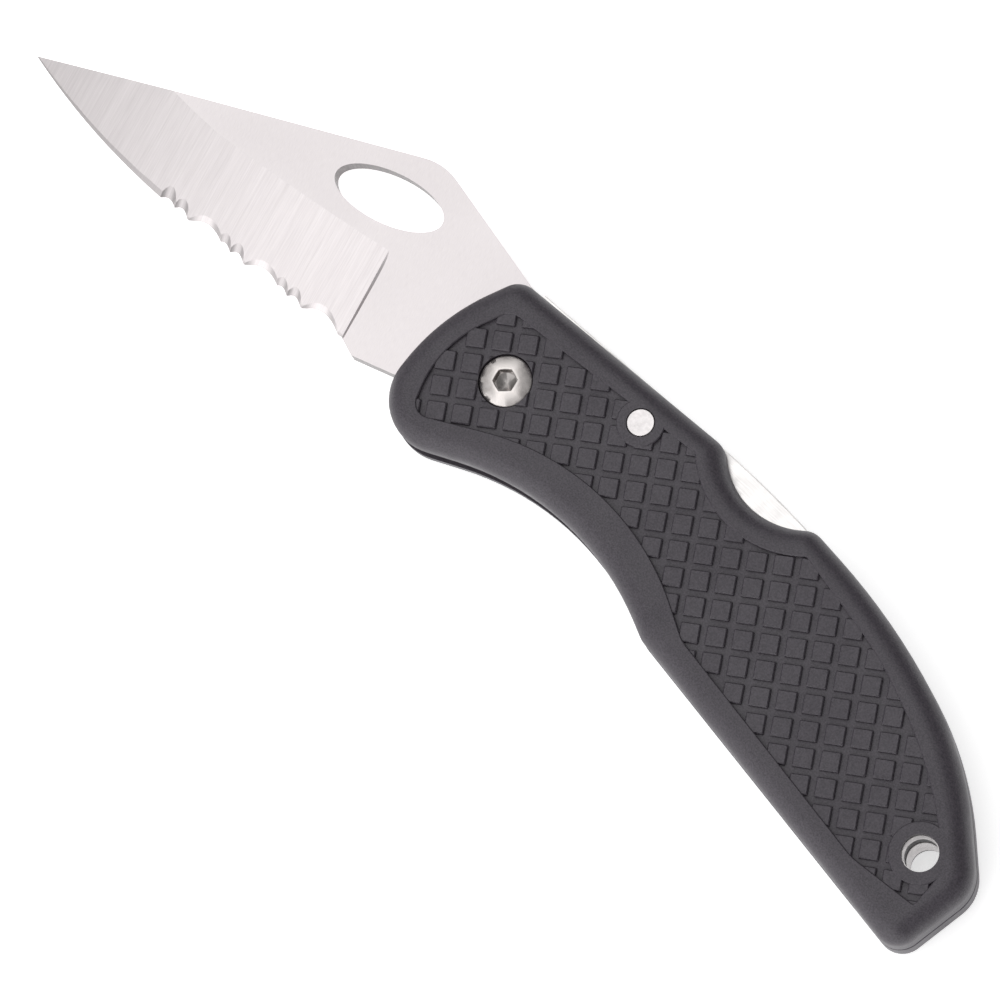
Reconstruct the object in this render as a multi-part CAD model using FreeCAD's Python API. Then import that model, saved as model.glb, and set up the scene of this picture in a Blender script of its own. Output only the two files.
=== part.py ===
"""Folding lock-back rigging knife: two moulded handle halves, a part-serrated blade with a thumb hole,
and a spine lock bar held in by a leaf spring.

The knife lies on its far side, blade open. +X runs along the knife from the blade's tip to the butt,
+Y is the spine side, and +Z is the pivot's axis. Outlines are drawn from the pivot, in millimetres,
and the whole knife is then moved so that the origin is at the middle of its underside.
"""
import FreeCAD
import Part
import math
import os

V = FreeCAD.Vector

# Thicknesses, along Z
HANDLE_T = 11.0
HALF_T = HANDLE_T / 2
BLADE_T = 2.5
BAR_T = 2.4
SLOT_T = 3.0
WASHER_T = 0.2
SPRING_W = 2.4
SPRING_T = 0.8

# Handle: border, checkered field and bosses
EDGE_ROUND = 3.0
PARTING_CHAMFER = 0.25
FIELD_DEPTH = 0.7
PAD_DROP = 0.18
PAD_SIZE = 2.74
PAD_DRAFT = 0.04
PAD_BREAK = 0.15
PAD_CORNER = 0.12
PAD_PITCH = 3.683
PAD_ANGLE = 34.4
PAD_START = (25.35, 6.12)
PAD_MIN_AREA = 0.35
FIELD_RIM = 0.13
PIN_BOSS_R = 3.42
LANYARD = (88.12, -8.35)
LANYARD_R = 2.6
LANYARD_BOSS_R = 4.35
TUBE_R = 2.58
TUBE_BORE_R = 2.3
TUBE_LENGTH = 9.2

# Pivot, lock-bar pin and dowels
PIVOT_R = 2.7
PIVOT_BORE_R = 2.75
HEAD_R = 3.7
HEAD_CROWN = 0.85
HEAD_RIM = 1.25
COUNTERBORE_R = 3.85
COUNTERBORE_DEPTH = 2.15
SCREW_R = 2.0
SOCKET_FLATS = 3.0
SOCKET_TURN = 43.8
SOCKET_DEPTH = 1.5
NUT_SOCKET_DEPTH = 1.1
PIN = (18.29, 8.39)
PIN_R = 1.965
PIN_CLEARANCE = 0.07
DOWELS = ((63.0, 0.8), (90.4, -15.2))
DOWEL_R = 1.25
DOWEL_LENGTH = 6.0

# Blade
TIP = (-85.24, -11.3)
EDGE_MIDDLE = (-72.4, -13.35)
SERRATION_START = (-57.1, -13.85)
SERRATION_MIDDLE = (-40.2, -12.6)
EDGE_END = (-23.1, -10.75)
CHOIL = (-19.88, -11.75)
HUMP = (-29.8, 16.62)
HUMP_R = 8.7
BLADE_BACK_END = (-6.6, 12.0)
BEVEL_HEIGHT = 12.0
BEVEL_HEIGHT_REAR = 13.2
BEVEL_LEAN = 0.27
PLUNGE_RUN = 0.7
EDGE_HALF = 0.03
EDGE_BEVEL_SLOPE = 0.33
TANG_R = 8.0
NOTCH_R = 7.0
TOOTH_X = -2.5
SMALL_SCALLOP = (2.43, 0.62, 20.0)
LARGE_SCALLOP = (5.72, 1.05, 30.0)
SCALLOP_LEAN = 20.0
THUMB_HOLE = (-32.1, 7.85)
THUMB_HOLE_AXES = (8.65, 3.7)
THUMB_HOLE_TURN = 16.0
CLOSED_TURN = 161.5

# Lock bar
BAR_BOSS_R = 3.2
HOOK_GAP = 0.12
HOOK_FRONT_X = -5.75
HOOK_REAR_X = -2.75
BAR_OVER_TANG_R = 9.1
BAR_REAR_X = 46.0
BAR_TONGUE_X = 52.0
BAR_EDGE_BREAK = 0.2
TIP_SWEEP_R = 87.5
SLOT_REACH = 40
SPRING_LINE = ((47.8, 7.65, -1), (59.0, 6.2, 0), (73.0, 5.7, 1))


def place(point, z=0.0):
    """A point of an outline, as a vector."""
    return V(point[0], point[1], z)


def polar(radius, degrees):
    """A point at a radius and an angle from the pivot."""
    return (radius * math.cos(math.radians(degrees)), radius * math.sin(math.radians(degrees)))


def rounded_wire(corners):
    """A closed wire of straight runs joined by tangent arcs; each corner is (x, y, radius)."""
    count = len(corners)
    starts = []
    ends = []
    middles = []
    for index, (x, y, radius) in enumerate(corners):
        here = V(x, y, 0)
        before = place(corners[index - 1][:2]) - here
        after = place(corners[(index + 1) % count][:2]) - here
        before.normalize()
        after.normalize()
        half = before.getAngle(after) / 2
        if radius == 0:
            starts.append(here)
            ends.append(here)
            middles.append(None)
            continue
        reach = radius / math.tan(half)
        inward = before + after
        inward.normalize()
        starts.append(here + before * reach)
        ends.append(here + after * reach)
        middles.append(here + inward * (radius / math.sin(half) - radius))
    edges = []
    for index in range(count):
        if middles[index] is not None:
            edges.append(Part.Arc(starts[index], middles[index], ends[index]).toShape())
        following = (index + 1) % count
        if ends[index].distanceToPoint(starts[following]) > 1e-6:
            edges.append(Part.LineSegment(ends[index], starts[following]).toShape())
    return Part.Wire(edges)


def plate(wire, low, high):
    """A closed outline made solid between two heights."""
    face = Part.Face(wire)
    face.translate(V(0, 0, low))
    return face.extrude(V(0, 0, high - low))


def disc(centre, radius, low, high):
    """A round solid along Z."""
    return Part.makeCylinder(radius, high - low, place(centre, low))


def polyline(points):
    """A closed wire through points with sharp corners."""
    return Part.makePolygon([place(point) for point in points] + [place(points[0])])


def mirrored(shape):
    """A copy of a shape reflected in the parting plane."""
    return shape.mirror(V(0, 0, 0), V(0, 0, 1))


# Handle -----------------------------------------------------------------------------------------

HANDLE_OUTLINE = (
    (-11.68, -18.9, 7.7),
    (-13.97, 0.18, 30.0),
    (-9.14, 11.93, 3.5),
    (28.5, 13.94, 3.5),
    (37.3, 7.07, 12.0),
    (46.04, 13.9, 3.2),
    (62.7, 12.35, 95.0),
    (83.0, 5.37, 48.0),
    (96.67, -6.73, 6.0),
    (94.65, -20.67, 3.4),
    (39.1, -13.02, 3.3),
    (19.12, -4.53, 42.0),
)

FIELD_OUTLINE = (
    (-6.35, -12.2, 2.2),
    (-10.34, -2.6, 16.0),
    (-6.27, 7.55, 2.5),
    (26.8, 10.4, 0.4),
    (37.5, 0.97, 15.9),
    (48.3, 10.35, 0.4),
    (65.0, 7.3, 60.0),
    (80.5, 1.3, 60.0),
    (88.6, -5.0, 1.0),
    (92.1, -8.6, 0.6),
    (92.4, -14.0, 0.4),
    (81.8, -15.0, 8.0),
    (44.0, -9.45, 5.0),
    (21.2, 2.47, 39.0),
)


def slot_outline():
    """The room that the blade and the lock bar move in, cut from both halves at the parting plane."""
    far = SLOT_REACH
    bar_top = 11.6
    web_front = (26.6, 4.6)
    web_middle = (58.0, -3.4)
    web_rear = (76.0, -10.0)
    arc_start = polar(TIP_SWEEP_R, -9.0)
    arc_end = polar(TIP_SWEEP_R, -14.5)
    corners = [
        (-far, -far),
        (-far, far),
        (BAR_REAR_X + 0.7, far),
        (BAR_REAR_X + 0.7, bar_top),
        (BAR_TONGUE_X + 0.8, bar_top),
        (BAR_TONGUE_X + 0.8, web_front[1]),
        web_front,
        web_middle,
        web_rear,
        arc_start,
    ]
    edges = [Part.LineSegment(place(a), place(b)) for a, b in zip(corners, corners[1:])]
    edges.append(Part.Arc(place(arc_start), place(polar(TIP_SWEEP_R, -12.0)), place(arc_end)))
    edges.append(Part.LineSegment(place(arc_end), V(82, -far, 0)))
    edges.append(Part.LineSegment(V(82, -far, 0), place(corners[0])))
    return Part.Wire([edge.toShape() for edge in edges])


def field_solid(depth):
    """The checkered field's area, without its two round bosses, cut this deep from the outer face."""
    area = plate(rounded_wire(FIELD_OUTLINE), HALF_T - depth, HALF_T + 1)
    pin_boss = disc(PIN, PIN_BOSS_R, 0, HALF_T + 2)
    lanyard_boss = disc(LANYARD, LANYARD_BOSS_R, 0, HALF_T + 2)
    return area.cut([pin_boss, lanyard_boss])


def pad_section(half, corner, z):
    """A square with cut corners, centred on the origin at a height."""
    near = half - corner
    corners = (
        (half, -near), (half, near), (near, half), (-near, half),
        (-half, near), (-half, -near), (-near, -half), (near, -half),
    )
    points = [place(point, z) for point in corners]
    return Part.makePolygon(points + [points[0]])


def pad():
    """One square pad with drafted walls, cut corners and a broken top edge."""
    top = HALF_T - PAD_DROP
    foot = HALF_T - FIELD_DEPTH
    half = PAD_SIZE / 2
    walls = [
        pad_section(half + PAD_DRAFT, PAD_CORNER, foot),
        pad_section(half, PAD_CORNER, top - PAD_BREAK),
        pad_section(half - PAD_BREAK, PAD_CORNER, top),
    ]
    return Part.makeLoft(walls, True, True)


def pads():
    """The square pads of the checkered field, all those that its border and its bosses leave room for."""
    area = field_solid(FIELD_DEPTH)
    box = area.BoundBox
    along = V(*polar(PAD_PITCH, PAD_ANGLE), 0)
    across = V(*polar(PAD_PITCH, PAD_ANGLE - 90), 0)
    model = pad()
    model.rotate(V(0, 0, 0), V(0, 0, 1), PAD_ANGLE)
    reach = int(box.XLength / PAD_PITCH) + 1
    found = []
    for row in range(-reach, reach):
        for column in range(-reach, reach):
            centre = place(PAD_START) + along * column + across * row
            inside_x = box.XMin - PAD_SIZE < centre.x < box.XMax + PAD_SIZE
            inside_y = box.YMin - PAD_SIZE < centre.y < box.YMax + PAD_SIZE
            if not (inside_x and inside_y):
                continue
            square = model.copy()
            square.translate(centre)
            if square.common(area).Volume > PAD_MIN_AREA * (FIELD_DEPTH - PAD_DROP):
                found.append(square)
    return found


def broken_boss(centre, radius):
    """A round boss with its top edge broken, drawn taller than the half."""
    shoulder = HALF_T - FIELD_RIM
    post = disc(centre, radius, 0, shoulder)
    bevel = Part.makeCone(radius, radius - 2 * FIELD_RIM, 2 * FIELD_RIM, place(centre, shoulder))
    neck = disc(centre, radius - 2 * FIELD_RIM, shoulder, HALF_T + 2)
    return post.fuse([bevel, neck])


def field_pocket():
    """The whole field sunk to the level of the pads' tops, with the edge of its border broken."""
    outline = rounded_wire(FIELD_OUTLINE)
    wide = Part.Wire(Part.__sortEdges__(outline.makeOffset2D(2 * FIELD_RIM).Edges))
    outline.translate(V(0, 0, HALF_T - FIELD_RIM))
    wide.translate(V(0, 0, HALF_T + FIELD_RIM))
    flare = Part.makeLoft([outline, wide], True, True)
    area = plate(rounded_wire(FIELD_OUTLINE), HALF_T - PAD_DROP, HALF_T + 1)
    bosses = [broken_boss(PIN, PIN_BOSS_R), broken_boss(LANYARD, LANYARD_BOSS_R)]
    return area.fuse(flare).cut(bosses)


def handle_half():
    """One moulded half, drawn above the parting plane with its outer face up."""
    half = plate(rounded_wire(HANDLE_OUTLINE), 0, HALF_T)
    outer_edges = [edge for edge in half.Edges if edge.BoundBox.ZMin > HALF_T - 1e-3]
    half = half.makeFillet(EDGE_ROUND, outer_edges)
    parting_edges = [edge for edge in half.Edges if edge.BoundBox.ZMax < 1e-3]
    half = half.makeChamfer(PARTING_CHAMFER, parting_edges)
    grooves = field_solid(FIELD_DEPTH).cut(pads())
    room = plate(slot_outline(), -1, SLOT_T / 2)
    spring_slit = leaf(0.12).common(Part.makeBox(60, 60, SLOT_T / 2, V(40, -20, 0)))
    tools = [
        field_pocket(),
        grooves,
        room,
        spring_slit,
        disc(LANYARD, LANYARD_R, -1, HALF_T + 1),
        disc(PIN, PIN_R + PIN_CLEARANCE, -1, HALF_T + 1),
        disc((0, 0), PIVOT_BORE_R, -1, HALF_T + 1),
        disc((0, 0), COUNTERBORE_R, HALF_T - COUNTERBORE_DEPTH, HALF_T + 1),
    ]
    for centre in DOWELS:
        tools.append(disc(centre, DOWEL_R, -1, DOWEL_LENGTH / 2))
    return half.cut(tools)


# Blade ------------------------------------------------------------------------------------------

def edge_arc():
    """The plain cutting edge, from the tip to the first tooth."""
    return Part.Arc(place(TIP), place(EDGE_MIDDLE), place(SERRATION_START))


def tooth_line():
    """The gentle arc that the points of the teeth lie on."""
    return Part.Arc(place(SERRATION_START), place(SERRATION_MIDDLE), place(EDGE_END))


def height_at(arc, x):
    """The Y of an arc at an X."""
    crossing = Part.LineSegment(V(x, -60, 0), V(x, 60, 0)).toShape()
    return arc.toShape().distToShape(crossing)[1][0][0].y


def blade_outline():
    """The blade's side view, from the tip along the spine, round the tang and back along the edge."""
    back = place(TIP)
    turn_a = place(HUMP) - back
    turn_b = place(BLADE_BACK_END) - place(HUMP)
    turn_a.normalize()
    turn_b.normalize()
    reach = HUMP_R * math.tan(turn_a.getAngle(turn_b) / 2)
    hump_start = place(HUMP) - turn_a * reach
    hump_end = place(HUMP) + turn_b * reach
    inward = turn_b - turn_a
    inward.normalize()
    rise = HUMP_R / math.cos(turn_a.getAngle(turn_b) / 2) - HUMP_R
    hump_middle = place(HUMP) + inward * rise
    back_end = place(BLADE_BACK_END)
    notch_front = V(BLADE_BACK_END[0], math.sqrt(NOTCH_R ** 2 - BLADE_BACK_END[0] ** 2), 0)
    tooth_foot = V(TOOTH_X, math.sqrt(NOTCH_R ** 2 - TOOTH_X ** 2), 0)
    tooth_top = V(TOOTH_X, math.sqrt(TANG_R ** 2 - TOOTH_X ** 2), 0)
    relief_top = place(polar(TANG_R, -16))
    relief_in = place(polar(NOTCH_R, -20))
    relief_out = place(polar(NOTCH_R, -57))
    relief_end = place(polar(TANG_R, -61))
    under_tang = place(polar(TANG_R, -112))
    under_front = V(-13.06, -9.48, 0)
    notch_middle = place(polar(NOTCH_R, 130))
    edges = [
        Part.LineSegment(back, hump_start),
        Part.Arc(hump_start, hump_middle, hump_end),
        Part.LineSegment(hump_end, back_end),
        Part.LineSegment(back_end, notch_front),
        Part.Arc(notch_front, notch_middle, tooth_foot),
        Part.LineSegment(tooth_foot, tooth_top),
        Part.Arc(tooth_top, place(polar(TANG_R, 45)), relief_top),
        Part.LineSegment(relief_top, relief_in),
        Part.Arc(relief_in, place(polar(NOTCH_R, -38)), relief_out),
        Part.LineSegment(relief_out, relief_end),
        Part.Arc(relief_end, place(polar(TANG_R, -85)), under_tang),
        Part.LineSegment(under_tang, under_front),
        Part.LineSegment(under_front, place(CHOIL)),
        Part.LineSegment(place(CHOIL), place(EDGE_END)),
        Part.Arc(place(EDGE_END), place(SERRATION_MIDDLE), place(SERRATION_START)),
        Part.Arc(place(SERRATION_START), place(EDGE_MIDDLE), place(TIP)),
    ]
    return Part.Wire([edge.toShape() for edge in edges])


def edge_bevel_width(x):
    """How tall the small bevel at the very edge is: it widens from the tip to the first tooth."""
    if x <= SERRATION_START[0]:
        share = max(0.0, (x - TIP[0]) / (SERRATION_START[0] - TIP[0]))
        return 0.15 + 0.65 * share
    return 0.35


def bevel_section(x, lean, lift):
    """What is ground off one side at a station: from above the grind line down past the edge."""
    if x <= TIP[0]:
        low = TIP[1]
    elif x < SERRATION_START[0]:
        low = height_at(edge_arc(), x)
    else:
        low = height_at(tooth_line(), min(x, EDGE_END[0]))
    share = max(0.0, (x - SERRATION_START[0]) / (EDGE_END[0] - SERRATION_START[0]))
    tall = BEVEL_HEIGHT + (BEVEL_HEIGHT_REAR - BEVEL_HEIGHT) * share
    side = BLADE_T / 2
    width = edge_bevel_width(x)
    shoulder = EDGE_HALF + EDGE_BEVEL_SLOPE * width
    slope = (side - shoulder) / (tall - width)
    profile = (
        (-1.0, EDGE_HALF - EDGE_BEVEL_SLOPE),
        (width, shoulder),
        (tall + 0.1 / slope, side + 0.1),
        (tall + 0.1 / slope, side + 2),
        (-1.0, side + 2),
    )
    points = [V(x - lean * up, low + up, max(out, lift)) for up, out in profile]
    return Part.makePolygon(points + [points[0]])


def bevel_cutter():
    """All that is ground off one side, ending in a short ramp up to the flat at the plunge line."""
    stations = [TIP[0] - 3, TIP[0], -82, -78, -73, -68, -62, SERRATION_START[0], -54, -46, -38, -30]
    rear = EDGE_END[0]
    sections = []
    for x in stations:
        share = max(0.0, (x - SERRATION_START[0]) / (rear - SERRATION_START[0]))
        sections.append(bevel_section(x, BEVEL_LEAN * share, -9))
    sections.append(bevel_section(rear, BEVEL_LEAN, -9))
    sections.append(bevel_section(rear + PLUNGE_RUN, BEVEL_LEAN, BLADE_T / 2 + 0.05))
    return Part.makeLoft(sections, True, True)


def scallops():
    """The hollows ground into the near side between the teeth: two small and one large, three times over."""
    line = tooth_line()
    shoulder = EDGE_HALF + EDGE_BEVEL_SLOPE * edge_bevel_width(0)
    slope = (BLADE_T / 2 - shoulder) / BEVEL_HEIGHT
    up = V(0, 0, 1)
    found = []
    x = SERRATION_START[0]
    for _ in range(3):
        for width, depth, pitch in (SMALL_SCALLOP, SMALL_SCALLOP, LARGE_SCALLOP):
            left = V(x, height_at(line, x), 0)
            right = V(x + width, height_at(line, x + width), 0)
            chord = right - left
            chord.normalize()
            inward = V(-chord.y, chord.x, 0)
            rise = math.tan(math.radians(pitch))
            bottom = -(shoulder + slope * depth)
            drop = (-EDGE_HALF - (bottom - depth * rise)) * math.cos(math.radians(pitch))
            radius = (width ** 2 / 4 + drop ** 2) / (2 * drop)
            lean = math.radians(SCALLOP_LEAN)
            level = inward * math.cos(lean) - chord * math.sin(lean)
            axis = level * math.cos(math.radians(pitch)) + up * math.sin(math.radians(pitch))
            away = up * math.cos(math.radians(pitch)) - level * math.sin(math.radians(pitch))
            middle = (left + right) * 0.5 - chord * (depth * math.tan(lean) * 0.7)
            deepest = middle + inward * depth + up * bottom
            found.append(Part.makeCylinder(radius, 24, deepest + away * radius - axis * 12, axis))
            x += width
    return found


def thumb_hole():
    """The long oval hole that the thumb opens the blade by."""
    ellipse = Part.Ellipse(V(0, 0, 0), *THUMB_HOLE_AXES)
    solid = plate(Part.Wire(ellipse.toShape()), -BLADE_T, BLADE_T)
    solid.rotate(V(0, 0, 0), V(0, 0, 1), THUMB_HOLE_TURN)
    solid.translate(place(THUMB_HOLE))
    return solid


def blade():
    """The blade, ground on both sides."""
    body = plate(blade_outline(), -BLADE_T / 2, BLADE_T / 2)
    cutter = bevel_cutter()
    tools = [cutter, mirrored(cutter), thumb_hole(), disc((0, 0), PIVOT_BORE_R, -BLADE_T, BLADE_T)]
    return body.cut(tools + scallops())


# Lock bar and spring ----------------------------------------------------------------------------

def lock_bar():
    """The bar that rocks on its pin; its hook drops into the tang's notch, and the thumb presses its rear."""
    hook_r = TANG_R + HOOK_GAP
    hook_front = (HOOK_FRONT_X, math.sqrt(hook_r ** 2 - HOOK_FRONT_X ** 2))
    hook_rear = (HOOK_REAR_X, math.sqrt(hook_r ** 2 - HOOK_REAR_X ** 2))
    arch_start = (HOOK_REAR_X, math.sqrt(BAR_OVER_TANG_R ** 2 - HOOK_REAR_X ** 2))
    arch_end = polar(BAR_OVER_TANG_R, 52)
    edges = [
        Part.LineSegment(V(HOOK_FRONT_X, 12.7, 0), V(28.0, 13.9, 0)),
        Part.Arc(V(28.0, 13.9, 0), V(37.5, 13.85, 0), V(BAR_REAR_X, 13.35, 0)),
        Part.LineSegment(V(BAR_REAR_X, 13.35, 0), V(BAR_REAR_X, 9.8, 0)),
        Part.LineSegment(V(BAR_REAR_X, 9.8, 0), V(BAR_TONGUE_X, 9.4, 0)),
        Part.LineSegment(V(BAR_TONGUE_X, 9.4, 0), V(BAR_TONGUE_X, 8.2, 0)),
        Part.LineSegment(V(BAR_TONGUE_X, 8.2, 0), V(28.0, 8.2, 0)),
        Part.LineSegment(V(28.0, 8.2, 0), V(PIN[0] + 2.2, PIN[1] - 2.3, 0)),
        Part.Arc(
            V(PIN[0] + 2.2, PIN[1] - 2.3, 0),
            V(PIN[0], PIN[1] - BAR_BOSS_R, 0),
            V(PIN[0] - 2.2, PIN[1] - 2.3, 0),
        ),
        Part.LineSegment(V(PIN[0] - 2.2, PIN[1] - 2.3, 0), place(arch_end)),
        Part.Arc(place(arch_end), place(polar(BAR_OVER_TANG_R, 80)), place(arch_start)),
        Part.LineSegment(place(arch_start), place(hook_rear)),
        Part.Arc(place(hook_rear), place(polar(hook_r, 120)), place(hook_front)),
        Part.LineSegment(place(hook_front), V(HOOK_FRONT_X, 12.7, 0)),
    ]
    wire = Part.Wire([edge.toShape() for edge in edges])
    body = plate(wire, -BAR_T / 2, BAR_T / 2)
    spine_edges = []
    for edge in body.Edges:
        flat = edge.BoundBox.ZLength < 1e-6
        if flat and edge.BoundBox.YMin > 12.6:
            spine_edges.append(edge)
    body = body.makeChamfer(BAR_EDGE_BREAK, spine_edges)
    return body.cut(disc(PIN, PIN_R + PIN_CLEARANCE, -BAR_T, BAR_T))


def leaf(growth=0.0):
    """The leaf spring, or the slit that holds it when it is grown on every side."""
    reach = SPRING_T / 2 + growth
    low = [(x + end * growth, y - reach) for x, y, end in SPRING_LINE]
    high = [(x + end * growth, y + reach) for x, y, end in SPRING_LINE]
    edges = [
        Part.Arc(*[place(point) for point in low]),
        Part.LineSegment(place(low[2]), place(high[2])),
        Part.Arc(*[place(point) for point in reversed(high)]),
        Part.LineSegment(place(high[0]), place(low[0])),
    ]
    wire = Part.Wire([edge.toShape() for edge in edges])
    return plate(wire, -SPRING_W / 2 - growth, SPRING_W / 2 + growth)


# Hardware ---------------------------------------------------------------------------------------

def hex_socket(top, depth):
    """A hexagonal socket with a drilled, conical bottom, opening upwards."""
    corner = SOCKET_FLATS / 2 / math.cos(math.radians(30))
    points = [polar(corner, 60 * step + SOCKET_TURN) for step in range(6)]
    hexagon = plate(polyline(points), top - depth, top + 2)
    cone = Part.makeCone(0, SOCKET_FLATS / 2, 0.6, V(0, 0, top - depth - 0.6))
    return hexagon.fuse(cone)


def head():
    """A low domed head with its underside at zero height."""
    crown_r = (HEAD_R ** 2 + HEAD_CROWN ** 2) / (2 * HEAD_CROWN)
    body = disc((0, 0), HEAD_R, 0, HEAD_RIM + HEAD_CROWN)
    ball = Part.makeSphere(crown_r, V(0, 0, HEAD_RIM + HEAD_CROWN - crown_r))
    return body.common(ball)


def pivot_screw():
    """The near pivot screw, its thread drawn as a plain shank."""
    seat = HALF_T - COUNTERBORE_DEPTH
    top = seat + HEAD_RIM + HEAD_CROWN
    cap = head()
    cap.translate(V(0, 0, seat))
    shank = disc((0, 0), SCREW_R - 0.02, -2.4, seat + 0.3)
    return cap.fuse(shank).cut(hex_socket(top, SOCKET_DEPTH)).removeSplitter()


def pivot_barrel():
    """The far pivot nut: a domed head on the barrel that the blade turns on."""
    seat = HALF_T - COUNTERBORE_DEPTH
    cap = head()
    cap.translate(V(0, 0, seat))
    cap = mirrored(cap.cut(hex_socket(seat + HEAD_RIM + HEAD_CROWN, NUT_SOCKET_DEPTH)))
    barrel = disc((0, 0), PIVOT_R, -seat - 0.2, seat - 0.05)
    bore = disc((0, 0), SCREW_R, -2.6, seat + 1)
    return cap.fuse(barrel).cut(bore).removeSplitter()


def washer(side):
    """A thin bearing washer between the blade and one half."""
    outer = SLOT_T / 2 - 0.01
    ring = disc((0, 0), 5.6, outer - WASHER_T, outer)
    ring = ring.cut(disc((0, 0), PIVOT_R + 0.03, 0, SLOT_T))
    return ring if side > 0 else mirrored(ring)


def lock_bar_pin():
    """The pin that the lock bar rocks on, flush with both bosses and slightly broken at its ends."""
    pin = disc(PIN, PIN_R, -HALF_T + 0.02, HALF_T - 0.02)
    rims = [edge for edge in pin.Edges if abs(abs(edge.BoundBox.Center.z) - HALF_T) < 0.1]
    return pin.makeChamfer(0.12, rims)


def lanyard_tube():
    """The tube that lines the lanyard hole, with both ends sunk below the bosses."""
    half = TUBE_LENGTH / 2
    return disc(LANYARD, TUBE_R, -half, half).cut(disc(LANYARD, TUBE_BORE_R, -half - 1, half + 1))


def dowels():
    """The two hidden dowels that line up the halves at the rear."""
    half = DOWEL_LENGTH / 2 - 0.05
    return Part.makeCompound([disc(centre, DOWEL_R - 0.01, -half, half) for centre in DOWELS])


def knife():
    """Every piece of the knife, drawn from the pivot and the parting plane."""
    half = handle_half()
    return {
        "near_handle_half": half,
        "far_handle_half": mirrored(half),
        "blade": blade(),
        "lock_bar": lock_bar(),
        "lock_spring": leaf(),
        "lock_bar_pin": lock_bar_pin(),
        "pivot_screw": pivot_screw(),
        "pivot_barrel_nut": pivot_barrel(),
        "near_pivot_washer": washer(1),
        "far_pivot_washer": washer(-1),
        "lanyard_tube": lanyard_tube(),
        "rear_dowels": dowels(),
    }


def main():
    os.makedirs("parts", exist_ok=True)
    pieces = knife()
    box = Part.makeCompound(list(pieces.values())).optimalBoundingBox(False, False)
    shift = V(-(box.XMin + box.XMax) / 2, -(box.YMin + box.YMax) / 2, HALF_T)
    for name, shape in pieces.items():
        shape.translate(shift)
        shape.exportStep("parts/" + name + ".step")
        print(name, "valid", shape.isValid(), "solids", len(shape.Solids), "volume", round(shape.Volume, 1))
    print("size", round(box.XLength, 3), round(box.YLength, 3), round(box.ZLength, 3))
    print("pivot at", round(shift.x, 3), round(shift.y, 3))
    print("pin at", round(shift.x + PIN[0], 3), round(shift.y + PIN[1], 3))
    print("lanyard hole at", round(shift.x + LANYARD[0], 3), round(shift.y + LANYARD[1], 3))
    print("closing turn", CLOSED_TURN)


main()
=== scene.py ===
import bpy
import math
from mathutils import Matrix, Vector


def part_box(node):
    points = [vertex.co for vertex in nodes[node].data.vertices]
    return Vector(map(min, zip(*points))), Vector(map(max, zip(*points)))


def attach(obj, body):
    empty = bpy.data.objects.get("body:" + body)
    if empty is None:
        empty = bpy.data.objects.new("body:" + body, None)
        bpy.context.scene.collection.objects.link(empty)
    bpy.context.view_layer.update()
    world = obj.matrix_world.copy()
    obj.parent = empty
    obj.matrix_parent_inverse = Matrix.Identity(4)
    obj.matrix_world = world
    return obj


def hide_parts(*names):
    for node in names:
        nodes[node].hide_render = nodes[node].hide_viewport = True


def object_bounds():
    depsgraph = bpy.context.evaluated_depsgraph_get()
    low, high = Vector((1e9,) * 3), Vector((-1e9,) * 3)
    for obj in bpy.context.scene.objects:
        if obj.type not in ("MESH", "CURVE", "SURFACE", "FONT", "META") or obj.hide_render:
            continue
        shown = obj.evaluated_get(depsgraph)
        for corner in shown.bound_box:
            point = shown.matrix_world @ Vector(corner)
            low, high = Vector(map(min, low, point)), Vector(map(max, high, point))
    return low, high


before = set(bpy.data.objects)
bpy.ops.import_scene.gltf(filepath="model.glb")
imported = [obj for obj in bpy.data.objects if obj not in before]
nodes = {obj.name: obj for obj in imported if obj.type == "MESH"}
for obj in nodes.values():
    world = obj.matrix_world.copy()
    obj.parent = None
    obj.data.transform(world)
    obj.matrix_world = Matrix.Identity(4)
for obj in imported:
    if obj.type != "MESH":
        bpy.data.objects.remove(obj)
cad_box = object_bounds()

# The camera sees the knife's near face, tilted to the line of sight.
# The picture's width is measured at that face.
LENS_MM = 252.0
SENSOR_MM = 36.0
PICTURE_WIDTH_M = 1 / 7.33
TILT = math.radians(18.05)
TILT_TOWARDS = math.radians(54.5)
# The knife's own X axis in the picture, as parts to the right and down.
KNIFE_IN_PICTURE = (0.72166, 0.69225)
# The place on the knife's near face that is in the middle of the picture.
PICTURE_MIDDLE = (0.006151, -0.010449)

# The pivot's screw and nut heads, in metres. Every depth is measured from the top of the dome.
HEX_ACROSS_FLATS = 0.003
HEAD_CROWN = 0.00085
HEAD_SEAT = 0.0021
HEAD_BREAK = 0.00009
SCREW_SOCKET_DEPTH = 0.0015
NUT_SOCKET_DEPTH = 0.0011
SCREW_TURN = math.radians(43.8)
NUT_TURN = math.radians(10)
SHANK_R = 0.00198
BARREL_R = 0.0027
BARREL_BORE_R = 0.00202
BORE_PAST_SCREW = 0.0002
AXIS_R = 0.00002

# The lanyard hole's lining: its wall, and the heights between which it is left out.
LINING_WALL = 0.00009
LINING_GAP = (0.0056, 0.0080)

SHARP_ANGLE = math.radians(32)
SUNK_FLOOR = 0.0001
FLOOR_HALF = 3


def collection():
    return bpy.context.scene.collection


def picture_axes():
    """The picture's right, up and inward directions in the row frame."""
    lean = math.sin(TILT)
    away = Vector((lean * math.cos(TILT_TOWARDS), lean * math.sin(TILT_TOWARDS), math.cos(TILT)))
    turn = Vector((0, 0, 1)).rotation_difference(away).to_matrix()
    across, down = turn.col[0], turn.col[1]
    cos_k, sin_k = KNIFE_IN_PICTURE
    to_row = Matrix((across * cos_k + down * sin_k, across * sin_k - down * cos_k, -turn.col[2]))
    return to_row.col[0].copy(), -to_row.col[1], to_row.col[2].copy()


RIGHT, UP, INWARD = picture_axes()


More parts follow.
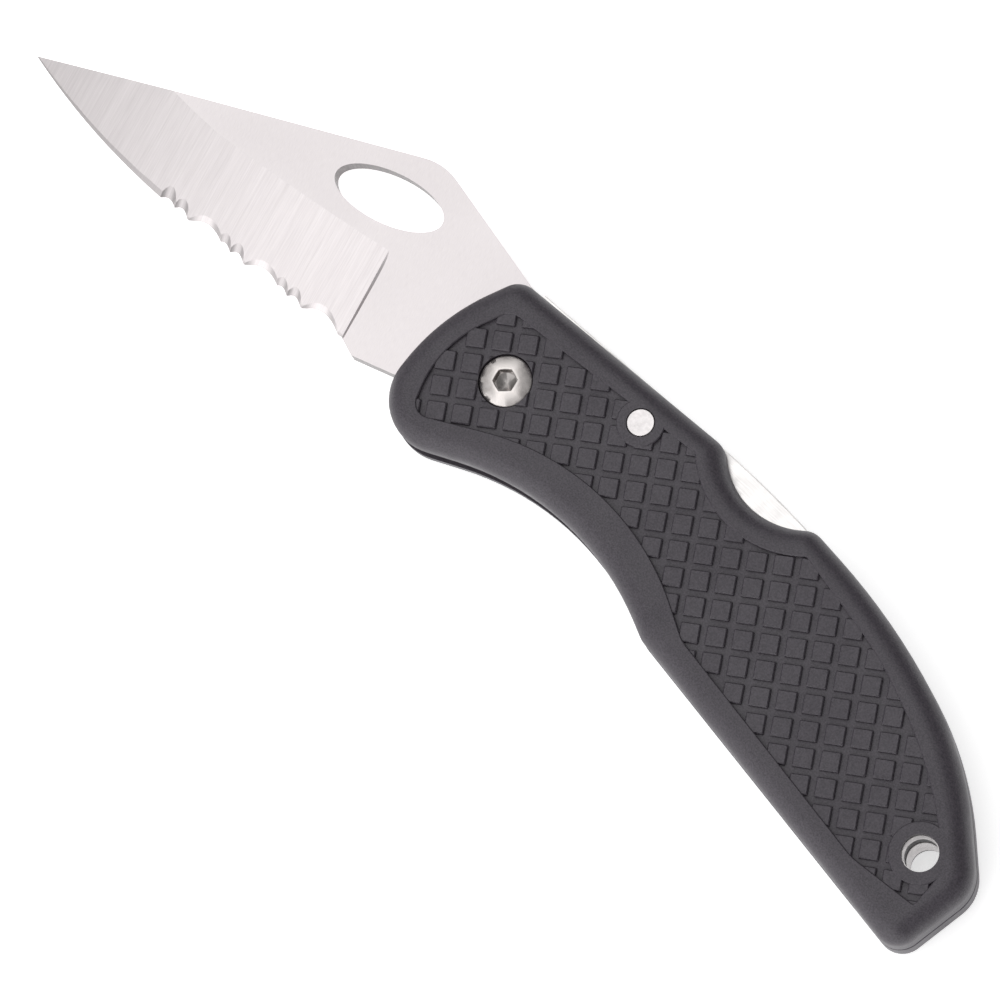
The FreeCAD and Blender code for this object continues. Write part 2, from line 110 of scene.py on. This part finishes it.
def add_camera():
    data = bpy.data.cameras.new("camera")
    data.lens = LENS_MM
    data.sensor_width = SENSOR_MM
    data.clip_start = 0.05
    data.clip_end = 20
    camera = bpy.data.objects.new("camera", data)
    distance = LENS_MM / SENSOR_MM * PICTURE_WIDTH_M
    middle = Vector((*PICTURE_MIDDLE, cad_box[1].z))
    place = Matrix((RIGHT, UP, -INWARD)).transposed().to_4x4()
    place.translation = middle - INWARD * distance
    camera.matrix_world = place
    collection().objects.link(camera)
    bpy.context.scene.camera = camera


def area_light(name, right, up, toward, size, power):
    """A softbox, placed and levelled by the picture's right, up and towards-the-camera directions."""
    data = bpy.data.lights.new(name, "AREA")
    data.shape = "RECTANGLE"
    data.size, data.size_y = size
    data.energy = power
    lamp = bpy.data.objects.new(name, data)
    at = RIGHT * right + UP * up - INWARD * toward
    back = at.normalized()
    side = (RIGHT - back * RIGHT.dot(back)).normalized()
    place = Matrix((side, back.cross(side), back)).transposed().to_4x4()
    place.translation = at
    lamp.matrix_world = place
    collection().objects.link(lamp)


def add_floor():
    """A sheet of white paper that gives off a little light, just under the knife."""
    half = FLOOR_HALF
    corners = [(-half, -half, 0), (half, -half, 0), (half, half, 0), (-half, half, 0)]
    data = bpy.data.meshes.new("floor")
    data.from_pydata(corners, [], [(0, 1, 2, 3)])
    floor = bpy.data.objects.new("floor", data)
    floor.location.z = cad_box[0].z - SUNK_FLOOR
    collection().objects.link(floor)
    paper = Nodes("paper")
    paper.set(Roughness=0.9, Base_Color=(0.9, 0.9, 0.9, 1))
    paper.set(Emission_Color=(1, 1, 1, 1), Emission_Strength=0.6)
    data.materials.append(paper.material)


def add_tent():
    """A white tent around the table, brightest at the picture's lower left and dim at its upper right."""
    world = bpy.data.worlds.new("studio")
    world.use_nodes = True
    bpy.context.scene.world = world
    tree = world.node_tree
    direction = tree.nodes.new("ShaderNodeTexCoord")
    across = tree.nodes.new("ShaderNodeVectorMath")
    across.operation = "DOT_PRODUCT"
    across.inputs[1].default_value = (RIGHT + UP * 0.8).normalized()
    strength = tree.nodes.new("ShaderNodeMapRange")
    strength.inputs["From Min"].default_value = -1.0
    strength.inputs["From Max"].default_value = 0.9
    strength.inputs["To Min"].default_value = 0.70
    strength.inputs["To Max"].default_value = 0.16
    background = tree.nodes["Background"]
    background.inputs["Color"].default_value = (1, 1, 1, 1)
    tree.links.new(direction.outputs["Generated"], across.inputs[0])
    tree.links.new(across.outputs["Value"], strength.inputs["Value"])
    tree.links.new(strength.outputs["Result"], background.inputs["Strength"])


class Nodes:
    """A small helper that builds one node material."""

    def __init__(self, name):
        self.material = bpy.data.materials.new(name)
        self.material.use_nodes = True
        self.tree = self.material.node_tree
        self.shader = self.tree.nodes["Principled BSDF"]
        self.coords = self.add("ShaderNodeTexCoord").outputs["Object"]

    def add(self, kind, **values):
        node = self.tree.nodes.new(kind)
        for key, value in values.items():
            setattr(node, key, value)
        return node

    def link(self, source, target):
        self.tree.links.new(source, target)

    def set(self, **values):
        for key, value in values.items():
            self.shader.inputs[key.replace("_", " ")].default_value = value

    def stretched(self, scale, turn=0.0):
        """Object coordinates turned about Z, then scaled along each axis."""
        turned = self.add("ShaderNodeMapping")
        turned.inputs["Rotation"].default_value = (0, 0, turn)
        self.link(self.coords, turned.inputs["Vector"])
        scaled = self.add("ShaderNodeMapping")
        scaled.inputs["Scale"].default_value = scale
        self.link(turned.outputs["Vector"], scaled.inputs["Vector"])
        return scaled.outputs["Vector"]

    def blend(self, value, low, high):
        """A number mixed between two others."""
        node = self.add("ShaderNodeMix", data_type="FLOAT")
        self.link(value, node.inputs["Factor"])
        for socket, source in (("A", low), ("B", high)):
            if isinstance(source, float):
                node.inputs[socket].default_value = source
            else:
                self.link(source, node.inputs[socket])
        return node.outputs["Result"]

    def average(self, first, second):
        """The mean of two numbers."""
        node = self.add("ShaderNodeMix", data_type="FLOAT")
        self.link(first, node.inputs["A"])
        self.link(second, node.inputs["B"])
        return node.outputs["Result"]

    def scaled_colour(self, value, colour):
        """A colour multiplied by a number from 0 to 1."""
        node = self.add("ShaderNodeMix", data_type="RGBA")
        node.inputs["A"].default_value = (0, 0, 0, 1)
        self.link(colour, node.inputs["B"])
        self.link(value, node.inputs["Factor"])
        return node.outputs["Result"]

    def along(self, axis, low, high, start, end):
        """A number that runs from low to high between two places along the object's own axis."""
        split = self.add("ShaderNodeSeparateXYZ")
        self.link(self.coords, split.inputs[0])
        return self.ramp(split.outputs[axis], low, high, start, end)

    def from_axis(self, centre, low, high, start, end):
        """A number that runs from low to high with the distance from a vertical axis."""
        flat = self.add("ShaderNodeVectorMath", operation="MULTIPLY")
        flat.inputs[1].default_value = (1, 1, 0)
        self.link(self.coords, flat.inputs[0])
        away = self.add("ShaderNodeVectorMath", operation="DISTANCE")
        away.inputs[1].default_value = (centre.x, centre.y, 0)
        self.link(flat.outputs["Vector"], away.inputs[0])
        return self.ramp(away.outputs["Value"], low, high, start, end)

    def facing_up(self, low, high):
        """0 to 1 as the surface's own tilt from the knife's faces falls between two cosines."""
        geometry = self.add("ShaderNodeNewGeometry")
        split = self.add("ShaderNodeSeparateXYZ")
        self.link(geometry.outputs["True Normal"], split.inputs[0])
        size = self.add("ShaderNodeMath", operation="ABSOLUTE")
        self.link(split.outputs["Z"], size.inputs[0])
        return self.ramp(size.outputs[0], 0.0, 1.0, low, high)

    def noise(self, vector, scale, detail=2.0, roughness=0.5):
        node = self.add("ShaderNodeTexNoise")
        node.inputs["Scale"].default_value = scale
        node.inputs["Detail"].default_value = detail
        node.inputs["Roughness"].default_value = roughness
        self.link(vector, node.inputs["Vector"])
        return node.outputs["Fac"]

    def ramp(self, value, low, high, start=0.0, end=1.0):
        node = self.add("ShaderNodeMapRange")
        node.inputs["From Min"].default_value = start
        node.inputs["From Max"].default_value = end
        node.inputs["To Min"].default_value = low
        node.inputs["To Max"].default_value = high
        self.link(value, node.inputs["Value"])
        return node.outputs["Result"]

    def mix(self, value, low, high):
        node = self.add("ShaderNodeMix", data_type="RGBA")
        node.inputs["A"].default_value = (*low, 1)
        node.inputs["B"].default_value = (*high, 1)
        self.link(value, node.inputs["Factor"])
        return node.outputs["Result"]

    def bump(self, height, strength, distance):
        node = self.add("ShaderNodeBump")
        node.inputs["Strength"].default_value = strength
        node.inputs["Distance"].default_value = distance
        self.link(height, node.inputs["Height"])
        self.link(node.outputs["Normal"], self.shader.inputs["Normal"])


def moulded_plastic():
    """Glass-filled black nylon: a fine moulded grain, slightly cloudy gloss."""
    m = Nodes("handle_plastic")
    grain = m.noise(m.coords, 4200, 4.0, 0.65)
    cloud = m.noise(m.coords, 140, 3.0, 0.6)
    speckle = m.ramp(grain, 0.0, 1.0, 0.35, 0.65)
    m.link(m.mix(speckle, (0.033, 0.028, 0.036), (0.074, 0.064, 0.078)), m.shader.inputs["Base Color"])
    m.link(m.ramp(cloud, 0.36, 0.50, 0.3, 0.7), m.shader.inputs["Roughness"])
    m.bump(grain, 0.8, 0.00004)
    return m.material


def ground_steel():
    """The blade: satin flats, bevels with long leaning grinding lines, colour painted darker towards the tip
    as shade, and upright edges painted dark as shade.
    """
    m = Nodes("blade_steel")
    m.set(Metallic=1.0)
    lean = math.radians(-14)
    fine = m.noise(m.stretched((15000, 220, 220), lean), 1.0, 3.0, 0.7)
    broad = m.noise(m.stretched((5200, 40, 40), lean), 1.0, 5.0, 0.75)
    satin = m.noise(m.stretched((16000, 900, 900), math.radians(-20)), 1.0, 2.0, 0.6)
    patch = m.noise(m.coords, 45, 2.0, 0.5)
    lines = m.average(fine, broad)
    flat = m.facing_up(0.9975, 0.9995)
    shade = m.blend(flat, m.ramp(lines, 0.0, 1.0, 0.38, 0.62), m.ramp(satin, 0.25, 0.85, 0.3, 0.7))
    steel = m.mix(shade, (0.64, 0.60, 0.605), (0.74, 0.70, 0.705))
    tip = (nodes["blade"].matrix_world.inverted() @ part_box("blade")[0]).x
    # Painted shade: the bevels' colour darkens towards the tip in place of the light falling off there; the
    # flats keep a plain 0.96 tone.
    tip_shade_and_flat_tone = m.blend(flat, m.along("X", 0.78, 1.0, tip + 0.004, tip + 0.046), 0.96)
    # Painted shade: the upright edges and hole walls are darkened to 0.34, standing in for the shadowed floor
    # they would reflect.
    upright_edge_shade = m.facing_up(0.2, 0.7)
    m.link(m.scaled_colour(m.blend(upright_edge_shade, 0.34, tip_shade_and_flat_tone), steel), m.shader.inputs["Base Color"])
    rough = m.blend(flat, m.ramp(lines, 0.40, 0.30, 0.35, 0.65), m.ramp(patch, 0.34, 0.40, 0.3, 0.7))
    m.link(rough, m.shader.inputs["Roughness"])
    m.bump(m.blend(flat, lines, satin), 0.2, 0.000006)
    return m.material


def satin_steel(name, colour, rough, scale):
    """Metal with fine lines, long in the directions with the smaller scale."""
    m = Nodes(name)
    m.set(Metallic=1.0)
    lines = m.noise(m.stretched(scale), 1.0, 3.0, 0.6)
    smear = m.noise(m.coords, 500, 2.0, 0.5)
    dark = tuple(c * 0.86 for c in colour)
    m.link(m.mix(m.ramp(lines, 0.0, 1.0, 0.35, 0.65), dark, colour), m.shader.inputs["Base Color"])
    m.link(m.ramp(smear, rough * 0.8, rough * 1.25, 0.3, 0.7), m.shader.inputs["Roughness"])
    m.bump(lines, 0.2, 0.000006)
    return m.material


def turned_steel():
    """Polished steel whose lathe rings stretch the reflections outwards, with its colour painted darker
    inside the sockets as shade.
    """
    m = Nodes("pivot_steel")
    m.set(Metallic=1.0, Anisotropic=0.93, Anisotropic_Rotation=0.25)
    radial = m.add("ShaderNodeTangent", direction_type="RADIAL", axis="Z")
    m.link(radial.outputs["Tangent"], m.shader.inputs["Tangent"])
    smear = m.noise(m.coords, 700, 3.0, 0.6)
    low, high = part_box("pivot_screw")
    # Painted shade: inside the sockets the colour is darkened to 0.52, where shade falls in the recess.
    socket = m.from_axis((low + high) / 2, 0.52, 1.0, 0.0015, 0.0017)
    steel = m.mix(smear, (0.58, 0.54, 0.52), (0.76, 0.72, 0.705))
    m.link(m.scaled_colour(socket, steel), m.shader.inputs["Base Color"])
    m.link(m.ramp(smear, 0.17, 0.27, 0.3, 0.7), m.shader.inputs["Roughness"])
    return m.material


def smooth_object(name, vertices, faces, material):
    """A new object, shaded smooth except at its sharp edges."""
    mesh = bpy.data.meshes.new(name)
    mesh.from_pydata(vertices, [], faces)
    mesh.materials.append(material)
    mesh.shade_smooth()
    mesh.set_sharp_from_angle(angle=SHARP_ANGLE)
    piece = bpy.data.objects.new(name, mesh)
    collection().objects.link(piece)
    return piece


def socket_head(name, node, material, facing, turn, depth, shank, bore=None):
    """A turned head with a domed top, a chamfered hexagon socket, and its shank or barrel.

    The socket has a drilled bottom. A bore is a blind hole in the barrel's end, given as its radius
    and its depth from the domed top.
    """
    low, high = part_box(node)
    centre = (low + high) / 2
    radius = (high.x - low.x) / 2
    top = high.z if facing > 0 else low.z
    far = low.z if facing > 0 else high.z
    length = abs(top - far)
    count = 144
    seat = HEAD_SEAT
    ball = (radius ** 2 + HEAD_CROWN ** 2) / (2 * HEAD_CROWN)

    def dome(r):
        return ball - math.sqrt(ball ** 2 - r ** 2)

    def circle(r, down):
        return [(r * math.cos(t), r * math.sin(t), down) for t in angles]

    def hexagon(scale, down=None):
        points = []
        for t in angles:
            u = (t - turn) % math.radians(60) - math.radians(30)
            r = HEX_ACROSS_FLATS / 2 / math.cos(u) * scale
            points.append((r * math.cos(t), r * math.sin(t), dome(r) + 0.00002 if down is None else down))
        return points

    angles = [turn + math.tau * i / count for i in range(count)]
    rings = [
        circle(AXIS_R, depth + 0.00055),
        circle(0.0007, depth + 0.00032),
        circle(0.00135, depth + 0.00005),
        circle(0.00142, depth),
        hexagon(0.985, depth),
        hexagon(1.0, depth - 0.00004),
        hexagon(1.0, dome(0.0016) + 0.00013),
        hexagon(1.04),
    ]
    steps = 12
    for step in range(1, steps + 1):
        ring = []
        for t, point in zip(angles, hexagon(1.07)):
            start = math.hypot(point[0], point[1])
            r = start + (radius - HEAD_BREAK - start) * step / steps
            ring.append((r * math.cos(t), r * math.sin(t), dome(r)))
        rings.append(ring)
    rings += [
        circle(radius - 0.00003, dome(radius) + 0.00001),
        circle(radius - 0.000005, dome(radius) + 0.00005),
        circle(radius - 0.000005, seat - 0.00006),
        circle(radius - 0.00006, seat),
        circle(shank + 0.0001, seat),
        circle(shank, seat),
        circle(shank, length - 0.00015),
        circle(shank - 0.00015, length),
    ]
    if bore:
        bore_r, bore_end = bore
        rings += [
            circle(bore_r + 0.00015, length),
            circle(bore_r, length - 0.00015),
            circle(bore_r, bore_end),
            circle(AXIS_R, bore_end),
        ]
    else:
        rings.append(circle(AXIS_R, length))
    vertices = [(centre.x + x, centre.y + y, top - facing * down) for ring in rings for x, y, down in ring]
    faces = []
    for k in range(len(rings) - 1):
        for i in range(count):
            j = (i + 1) % count
            quad = (k * count + i, (k + 1) * count + i, (k + 1) * count + j, k * count + j)
            faces.append(quad if facing > 0 else quad[::-1])
    last = (len(rings) - 1) * count
    start = tuple(range(count))
    end = tuple(last + i for i in range(count))
    faces.append(start if facing > 0 else start[::-1])
    faces.append(end[::-1] if facing > 0 else end)
    piece = smooth_object(name, vertices, faces, material)
    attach(piece, "handle")
    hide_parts(node)


def lanyard_lining(material):
    """The bright lining of the lanyard hole: two thin sleeves, one above the other, with a gap between."""
    low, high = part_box("lanyard_tube")
    centre = (low + high) / 2
    outer = (high.x - low.x) / 2
    inner = outer - LINING_WALL
    count = 96
    vertices, faces = [], []
    for bottom, top in ((low.z, LINING_GAP[0]), (LINING_GAP[1], high.z)):
        first = len(vertices)
        for radius, z in ((inner, bottom), (inner, top), (outer, top), (outer, bottom)):
            for i in range(count):
                t = math.tau * i / count
                vertices.append((centre.x + radius * math.cos(t), centre.y + radius * math.sin(t), z))
        for k in range(4):
            for i in range(count):
                j = (i + 1) % count
                a, b = first + k * count, first + (k + 1) % 4 * count
                faces.append((a + i, b + i, b + j, a + j))
    piece = smooth_object("lanyard_lining", vertices, faces, material)
    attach(piece, "handle")
    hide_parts("lanyard_tube")


def dress(names, material):
    """Gives CAD nodes their material."""
    for name in names:
        mesh = nodes[name].data
        mesh.materials.clear()
        mesh.materials.append(material)


add_camera()
add_floor()
add_tent()
area_light("softbox_above", -0.29, 0.45, 0.73, (0.75, 1.25), 3.1)
area_light("key_low_left", -0.72, -0.50, 0.55, (1.00, 1.00), 3.3)
area_light("strip_below", -0.18, -0.88, 0.42, (0.80, 0.38), 1.1)

bpy.context.scene.view_settings.view_transform = "Standard"

dress(["near_handle_half", "far_handle_half"], moulded_plastic())
dress(["blade"], ground_steel())
dress(["lock_bar"], satin_steel("bar_steel", (0.84, 0.82, 0.81), 0.3, (300, 7000, 7000)))
pin_steel = satin_steel("pin_steel", (0.70, 0.67, 0.67), 0.3, (2500, 2500, 2500))
dress(["lock_bar_pin"], pin_steel)
lanyard_lining(pin_steel)

pivot_steel = turned_steel()
screw_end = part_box("pivot_screw")[0].z
nut_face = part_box("pivot_barrel_nut")[0].z
nut_bore = (BARREL_BORE_R, screw_end - nut_face - BORE_PAST_SCREW)
screw = ("pivot_screw_turned", "pivot_screw", pivot_steel)
socket_head(*screw, 1, SCREW_TURN, SCREW_SOCKET_DEPTH, SHANK_R)
nut = ("pivot_nut_turned", "pivot_barrel_nut", pivot_steel)
socket_head(*nut, -1, NUT_TURN, NUT_SOCKET_DEPTH, BARREL_R, nut_bore)

spring_steel = satin_steel("spring_steel", (0.34, 0.34, 0.36), 0.35, (300, 5000, 5000))
dress(["lock_spring", "rear_dowels"], spring_steel)
bronze = satin_steel("washer_bronze", (0.7, 0.48, 0.28), 0.35, (3000, 3000, 3000))
dress(["near_pivot_washer", "far_pivot_washer"], bronze)
